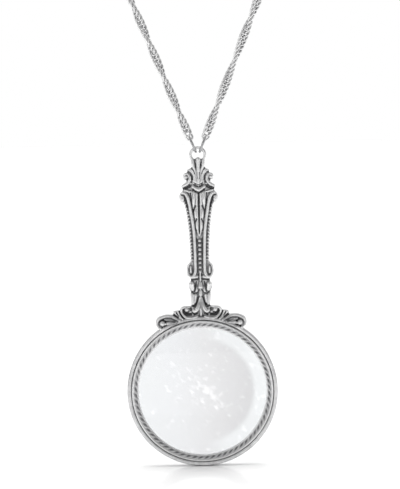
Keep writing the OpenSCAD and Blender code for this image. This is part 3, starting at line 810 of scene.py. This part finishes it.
def chain_mesh(name, path, first_across, last_across, wide_spots):
    """Interlocked links along a path, lying flat to the viewer at the distances of wide_spots."""
    steps = np.linalg.norm(np.diff(path, axis=0), axis=1)
    at = np.concatenate([[0], np.cumsum(steps)])
    count = round(at[-1] / LINK_PITCH)
    places = np.linspace(0, at[-1], count + 1)
    centres = np.stack([np.interp(places, at, column) for column in path.T], -1)
    runs = unit(np.gradient(centres, axis=0))
    widths = [first_across]
    for run in runs[1:]:
        widths.append(unit(widths[-1] - run * (widths[-1] @ run)))
    widths = np.array(widths)
    normals = np.cross(runs, widths)
    spots = [0, *wide_spots]
    turns = [-math.pi * wide_spots[0] / (wide_spots[1] - wide_spots[0]),
             *np.arange(len(wide_spots)) * math.pi]
    rest = -math.atan2(last_across @ normals[-1], last_across @ widths[-1])
    whole = turns[-1] + (at[-1] - spots[-1]) / HALF_TURN * math.pi
    end_turn = rest + math.pi * round((whole - rest) / math.pi)
    turn = -np.interp(places, [*spots, at[-1]], [*turns, end_turn])[:, None]
    across = widths * np.cos(turn) + normals * np.sin(turn)
    up = np.cross(runs, across)
    shape, faces, inner = link_shape()
    basis = np.stack([runs, across, up], 1)
    links = np.repeat(shape[None], count + 1, axis=0)
    for link, sign, wire in ((0, 1, RING_WIRE), (-1, -1, EYE_WIRE)):
        longer = wire + LINK_WIRE + LINK_GAP - LINK_PITCH / 2
        links[link, :, 0] = links[link, :, 0] * (LINK_HALF + longer) / LINK_HALF - sign * longer
    points = np.einsum("npk,nkc->npc", links, basis) + centres[:, None]
    starts = (np.arange(count + 1) * len(shape))[:, None, None]
    all_faces = (np.array(faces)[None] + starts).reshape(-1, 4).tolist()
    mesh = mesh_of(name, (points.reshape(-1, 3), all_faces))
    # Painted shade and patina on the links' inner sides
    set_patina_and_painted_light(mesh, np.tile(inner, count + 1) * LINK_SHADE_GAIN + LINK_PATINA)
    return mesh


def jump_ring_mesh(name, strand):
    part = laid(wire_ring(RING_R, RING_WIRE), strand["ring"], strand["along"], strand["across"])
    mesh = mesh_of(name, part)
    set_patina_and_painted_light(mesh, np.full(len(mesh.vertices), RING_PATINA))
    return mesh


def clasp_mesh(strand):
    """A plain barrel with round shoulders and an eye at each end."""
    shoulder = CLASP_D / 4
    end = [(CLASP_D / 2 - shoulder * (1 - math.cos(a)), CLASP_L / 2 - shoulder * (1 - math.sin(a)))
           for a in np.radians(np.linspace(0, 90, 7))]
    half = [(CLASP_D / 2, CLASP_SEAM), (CLASP_D / 2, CLASP_PLAIN), *end, (0, CLASP_L / 2)]
    outline = [(r, -x) for r, x in half[::-1]] + [(CLASP_D / 2 - CLASP_SEAM, 0)] + half
    points, faces = turned(outline, CLASP_TURNS)
    barrel = (points[:, [1, 0, 2]] + [0, *NAPE], faces)
    eyes = [laid(wire_ring(EYE_R, EYE_WIRE), place, np.array([1, 0, 0]), np.array([0, 1, 0]))
            for place in (strand["eye"], strand["eye"] * [-1, 1, 1])]
    mesh = mesh_of("clasp", joined([barrel, *eyes]), merge=True)
    set_patina_and_painted_light(mesh, np.zeros(len(mesh.vertices)))
    return mesh


def material(name):
    made = bpy.data.materials.new(name)
    made.use_nodes = True
    nodes = made.node_tree.nodes
    return made, nodes, made.node_tree.links, nodes["Principled BSDF"]


def metal(name, bright, plain, dark, polished, dull, grain, mottled):
    """Silver-tone metal: bright where it is rubbed and where highlights are painted, dark and dull
    where its patina and painted shade are high.
    """
    made, nodes, links, shader = material(name)
    shader.inputs["Metallic"].default_value = 1
    place = nodes.new("ShaderNodeTexCoord")
    patina_and_painted_light = nodes.new("ShaderNodeAttribute")
    patina_and_painted_light.attribute_name = "patina_and_painted_light"
    mottle = nodes.new("ShaderNodeTexNoise")
    for key, value in zip(("Scale", "Detail", "Roughness"), MOTTLE_NOISE):
        mottle.inputs[key].default_value = value
    links.new(place.outputs["Object"], mottle.inputs["Vector"])
    spread = nodes.new("ShaderNodeMapRange")
    spread.inputs["To Min"].default_value = -mottled
    spread.inputs["To Max"].default_value = mottled
    links.new(mottle.outputs["Fac"], spread.inputs["Value"])
    mixed = nodes.new("ShaderNodeMath")
    mixed.use_clamp = True
    links.new(patina_and_painted_light.outputs["Fac"], mixed.inputs[0])
    links.new(spread.outputs["Result"], mixed.inputs[1])
    tone = nodes.new("ShaderNodeValToRGB")
    tone.color_ramp.elements[0].color = (bright, bright, bright, 1)
    tone.color_ramp.elements[1].color = (dark, dark, dark * DARK_BLUE, 1)
    tone.color_ramp.elements[1].position = DARK_AT
    worn = tone.color_ramp.elements.new(PLAIN_AT)
    worn.color = (plain, plain, plain * PLAIN_BLUE, 1)
    links.new(mixed.outputs["Value"], tone.inputs["Fac"])
    links.new(tone.outputs["Color"], shader.inputs["Base Color"])
    rough = nodes.new("ShaderNodeMapRange")
    rough.inputs["To Min"].default_value = polished
    rough.inputs["To Max"].default_value = dull
    links.new(mixed.outputs["Value"], rough.inputs["Value"])
    links.new(rough.outputs["Result"], shader.inputs["Roughness"])
    fine = nodes.new("ShaderNodeTexNoise")
    for key, value in zip(("Scale", "Detail"), GRAIN_NOISE):
        fine.inputs[key].default_value = value
    links.new(place.outputs["Object"], fine.inputs["Vector"])
    bump = nodes.new("ShaderNodeBump")
    bump.inputs["Strength"].default_value = grain
    bump.inputs["Distance"].default_value = GRAIN_HEIGHT * MM
    links.new(fine.outputs["Fac"], bump.inputs["Height"])
    links.new(bump.outputs["Normal"], shader.inputs["Normal"])
    return made


def glass():
    """Clear glass with a grey tint and painted shade darker towards its right, a painted reflection as
    a lighter crescent on its right, and painted reflections as white flecks that glow.
    """
    made, nodes, links, shader = material("lens_glass")
    shader.inputs["Roughness"].default_value = GLASS_ROUGHNESS
    shader.inputs["IOR"].default_value = GLASS_IOR
    shader.inputs["Transmission Weight"].default_value = 1
    place = nodes.new("ShaderNodeTexCoord")
    middle = nodes.new("ShaderNodeMapping")
    middle.inputs["Location"].default_value = -RIM_MIDDLE * MM
    links.new(place.outputs["Object"], middle.inputs["Vector"])
    split = nodes.new("ShaderNodeSeparateXYZ")
    links.new(middle.outputs["Vector"], split.inputs["Vector"])
    radius = nodes.new("ShaderNodeVectorMath")
    radius.operation = "LENGTH"
    links.new(middle.outputs["Vector"], radius.inputs[0])
    edge = nodes.new("ShaderNodeMapRange")
    edge.interpolation_type = "SMOOTHSTEP"
    edge.inputs["From Min"].default_value = CRESCENT_REFLECTION_RADII[0] * MM
    edge.inputs["From Max"].default_value = CRESCENT_REFLECTION_RADII[1] * MM
    links.new(radius.outputs["Value"], edge.inputs["Value"])
    right = nodes.new("ShaderNodeMapRange")
    right.inputs["From Min"].default_value = 0
    right.inputs["From Max"].default_value = LENS_R / 3 * MM
    links.new(split.outputs["X"], right.inputs["Value"])
    # Painted reflection: a crescent near the right edge
    painted_reflection = nodes.new("ShaderNodeMath")
    painted_reflection.operation = "MULTIPLY"
    links.new(edge.outputs["Result"], painted_reflection.inputs[0])
    links.new(right.outputs["Result"], painted_reflection.inputs[1])
    aside = nodes.new("ShaderNodeMapRange")
    aside.inputs["From Min"].default_value = -LENS_R * MM
    aside.inputs["From Max"].default_value = LENS_R * MM
    links.new(split.outputs["X"], aside.inputs["Value"])
    # Painted shade: the glass's tint darkens from left to right
    tint_and_shade = nodes.new("ShaderNodeValToRGB")
    tint_and_shade.color_ramp.elements[0].color = (*LENS_TINT_AND_SHADE[0][1], 1)
    tint_and_shade.color_ramp.elements[1].color = (*LENS_TINT_AND_SHADE[-1][1], 1)
    for share, colour in LENS_TINT_AND_SHADE[1:-1]:
        stop = tint_and_shade.color_ramp.elements.new(share)
        stop.color = (*colour, 1)
    links.new(aside.outputs["Result"], tint_and_shade.inputs["Fac"])
    # The painted reflection lightens the glass back to the tint of its left edge
    tint_shade_and_reflection = nodes.new("ShaderNodeMix")
    tint_shade_and_reflection.data_type = "RGBA"
    tint_shade_and_reflection.inputs["B"].default_value = (*LENS_TINT_AND_SHADE[0][1], 1)
    links.new(painted_reflection.outputs["Value"], tint_shade_and_reflection.inputs["Factor"])
    links.new(tint_and_shade.outputs["Color"], tint_shade_and_reflection.inputs["A"])
    links.new(tint_shade_and_reflection.outputs["Result"], shader.inputs["Base Color"])
    slant = nodes.new("ShaderNodeMapping")
    slant.vector_type = "TEXTURE"
    slant.inputs["Rotation"].default_value = (0, FLECK_TURN, 0)
    slant.inputs["Scale"].default_value = FLECK_STRETCH
    links.new(middle.outputs["Vector"], slant.inputs["Vector"])
    reflection_flecks = nodes.new("ShaderNodeTexNoise")
    reflection_flecks.inputs["Scale"].default_value = FLECK_SCALE
    reflection_flecks.inputs["Detail"].default_value = FLECK_DETAIL
    links.new(slant.outputs["Vector"], reflection_flecks.inputs["Vector"])
    away = nodes.new("ShaderNodeVectorMath")
    away.operation = "LENGTH"
    streak = nodes.new("ShaderNodeMapping")
    streak.vector_type = "TEXTURE"
    streak.inputs["Rotation"].default_value = (0, FLECK_TURN, 0)
    streak.inputs["Scale"].default_value = STREAK_STRETCH
    links.new(middle.outputs["Vector"], streak.inputs["Vector"])
    links.new(streak.outputs["Vector"], away.inputs[0])
    inside = nodes.new("ShaderNodeMapRange")
    inside.inputs["From Min"].default_value = 0
    inside.inputs["From Max"].default_value = STREAK_REACH * MM
    inside.inputs["To Min"].default_value = STREAK_GAIN
    inside.inputs["To Max"].default_value = -STREAK_GAIN
    links.new(away.outputs["Value"], inside.inputs["Value"])
    total = nodes.new("ShaderNodeMath")
    links.new(reflection_flecks.outputs["Fac"], total.inputs[0])
    links.new(inside.outputs["Result"], total.inputs[1])
    shine = nodes.new("ShaderNodeMapRange")
    shine.inputs["From Min"].default_value = FLECK_RANGE[0]
    shine.inputs["From Max"].default_value = FLECK_RANGE[1]
    shine.inputs["To Max"].default_value = REFLECTION_FLECK_GLOW
    links.new(total.outputs["Value"], shine.inputs["Value"])
    # The flecks glow white: painted reflections
    shader.inputs["Emission Color"].default_value = (1, 1, 1, 1)
    links.new(shine.outputs["Result"], shader.inputs["Emission Strength"])
    return made


def placed(name, mesh, surface, body, nodes, local=True):
    """Shows a mesh in place of the part's own nodes. A local one is measured from the rim's middle."""
    origin = Vector(RIM_MIDDLE * MM if local else (0, 0, 0))
    mesh.transform(Matrix.Translation(origin) @ Matrix.Scale(MM, 4))
    mesh.materials.append(surface)
    piece = bpy.data.objects.new(name, mesh)
    bpy.context.scene.collection.objects.link(piece)
    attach(piece, body)
    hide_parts(*nodes)
    return piece


strand = right_strand()
path = strand_path(strand)
flip = np.array([-1, 1, 1])
width_at_first = np.cross(strand["along"], strand["across"])
left_strand = {key: value * flip for key, value in strand.items()}

metals = {name: metal(name, *row) for name, row in METALS.items()}
lens_glass = glass()

placed("frame_casting", cast_mesh(), metals["cast_metal"], "pendant", ["frame"])
placed("milled_bezel", bezel_mesh(), metals["bezel_metal"], "pendant", ["bezel"])
placed("glass_lens", lens_mesh(), lens_glass, "pendant", ["lens"])
for name, side, wide_spots in (("left", left_strand, LEFT_WIDE), ("right", strand, RIGHT_WIDE)):
    way = path * flip if name == "left" else path
    first_across = width_at_first * (flip if name == "left" else 1)
    links = chain_mesh("links_" + name, way, first_across, np.array([0, 0, 1]), wide_spots)
    placed("chain_links_" + name, links, metals["chain_metal"], "necklace",
           ["chain_" + name], local=False)
    placed("wire_ring_" + name, jump_ring_mesh("ring_" + name, side), metals["ring_metal"],
           "necklace", ["jump_ring_" + name], local=False)
placed("barrel_clasp", clasp_mesh(strand), metals["ring_metal"], "necklace",
       ["clasp"], local=False)


def softbox(name, place, target, size, brightness):
    """A square area light, as bright to look at as a white wall times brightness."""
    light = bpy.data.lights.new(name, "AREA")
    light.size = size
    light.energy = brightness * math.pi * size**2
    lamp = bpy.data.objects.new(name, light)
    lamp.location = place
    lamp.rotation_euler = (Vector(target) - Vector(place)).to_track_quat("-Z", "Y").to_euler()
    bpy.context.scene.collection.objects.link(lamp)


def sun():
    """Soft light from above and behind, even over the whole floor."""
    light = bpy.data.lights.new("overhead", "SUN")
    light.energy = SUN
    light.angle = math.radians(SUN_ANGLE)
    lamp = bpy.data.objects.new("overhead", light)
    lamp.rotation_euler = (-math.radians(SUN_TILT), 0, 0)
    lamp.visible_glossy = False
    bpy.context.scene.collection.objects.link(lamp)


def studio():
    """Pale walls all round, darker behind the camera, and plain white to the camera itself."""
    world = bpy.data.worlds.new("studio")
    bpy.context.scene.world = world
    world.use_nodes = True
    nodes, links = world.node_tree.nodes, world.node_tree.links
    background = nodes["Background"]
    way = nodes.new("ShaderNodeTexCoord")
    split = nodes.new("ShaderNodeSeparateXYZ")
    links.new(way.outputs["Generated"], split.inputs["Vector"])
    depth = nodes.new("ShaderNodeMapRange")
    depth.interpolation_type = "SMOOTHSTEP"
    depth.inputs["From Min"].default_value = WALL_SHARES[0]
    depth.inputs["From Max"].default_value = WALL_SHARES[1]
    depth.inputs["To Min"].default_value = FRONT_WALL
    depth.inputs["To Max"].default_value = BACK_WALL
    links.new(split.outputs["Y"], depth.inputs["Value"])
    height = nodes.new("ShaderNodeMapRange")
    height.interpolation_type = "SMOOTHSTEP"
    height.inputs["From Min"].default_value = 0
    height.inputs["From Max"].default_value = CEILING_SHARE
    height.inputs["To Min"].default_value = 0
    height.inputs["To Max"].default_value = CEILING
    links.new(split.outputs["Z"], height.inputs["Value"])
    total = nodes.new("ShaderNodeMath")
    links.new(depth.outputs["Result"], total.inputs[0])
    links.new(height.outputs["Result"], total.inputs[1])
    seen = nodes.new("ShaderNodeLightPath")
    mix = nodes.new("ShaderNodeMix")
    mix.data_type = "FLOAT"
    mix.inputs["B"].default_value = 1
    links.new(seen.outputs["Is Camera Ray"], mix.inputs["Factor"])
    links.new(total.outputs["Value"], mix.inputs["A"])
    links.new(mix.outputs["Result"], background.inputs["Strength"])
    background.inputs["Color"].default_value = (1, 1, 1, 1)


def floor():
    """A pale, partly polished floor just under the part."""
    mesh = bpy.data.meshes.new("floor")
    half = FLOOR_SIZE / 2
    level = cad_box[0].z - FLOOR_GAP
    mesh.from_pydata([(-half, -half, level), (half, -half, level), (half, half, level),
                      (-half, half, level)], [], [(0, 1, 2, 3)])
    made, nodes, links, shader = material("floor")
    shader.inputs["Base Color"].default_value = (FLOOR_TONE, FLOOR_TONE, FLOOR_TONE, 1)
    shader.inputs["Specular IOR Level"].default_value = 0
    shader.inputs["Emission Color"].default_value = (1, 1, 1, 1)
    shader.inputs["Emission Strength"].default_value = FLOOR_GLOW
    polish = nodes.new("ShaderNodeBsdfGlossy")
    polish.inputs["Roughness"].default_value = FLOOR_ROUGHNESS
    mix = nodes.new("ShaderNodeMixShader")
    mix.inputs["Fac"].default_value = FLOOR_POLISH
    links.new(shader.outputs["BSDF"], mix.inputs[1])
    links.new(polish.outputs["BSDF"], mix.inputs[2])
    links.new(mix.outputs["Shader"], nodes["Material Output"].inputs["Surface"])
    mesh.materials.append(made)
    piece = bpy.data.objects.new("floor", mesh)
    bpy.context.scene.collection.objects.link(piece)


def camera():
    """A long lens at the photograph's angle, rolled a little as the pendant leans there."""
    data = bpy.data.cameras.new("camera")
    data.lens = LENS_LENGTH
    cam = bpy.data.objects.new("camera", data)
    bpy.context.scene.collection.objects.link(cam)
    tilt, roll = math.radians(CAMERA_TILT), math.radians(CAMERA_ROLL)
    back = Vector((0, -math.cos(tilt), math.sin(tilt)))
    right = Vector((1, 0, 0))
    up = back.cross(right)
    right, up = (right * math.cos(roll) - up * math.sin(roll),
                 up * math.cos(roll) + right * math.sin(roll))
    target = Vector(RIM_MIDDLE) + right * PHOTO_SIDE + up * PHOTO_UP
    distance = LENS_LENGTH * PHOTO_HEIGHT / data.sensor_width
    turn = Matrix((right, up, back)).transposed().to_4x4()
    cam.matrix_world = Matrix.Translation((target + back * distance) * MM) @ turn
    data.clip_start, data.clip_end = CLIP
    bpy.context.scene.camera = cam


for name, place, size, brightness in SOFTBOXES:
    softbox(name, place, RIM_MIDDLE * MM, size, brightness)
sun()
studio()
floor()
camera()
bpy.context.scene.view_settings.view_transform = "Standard"
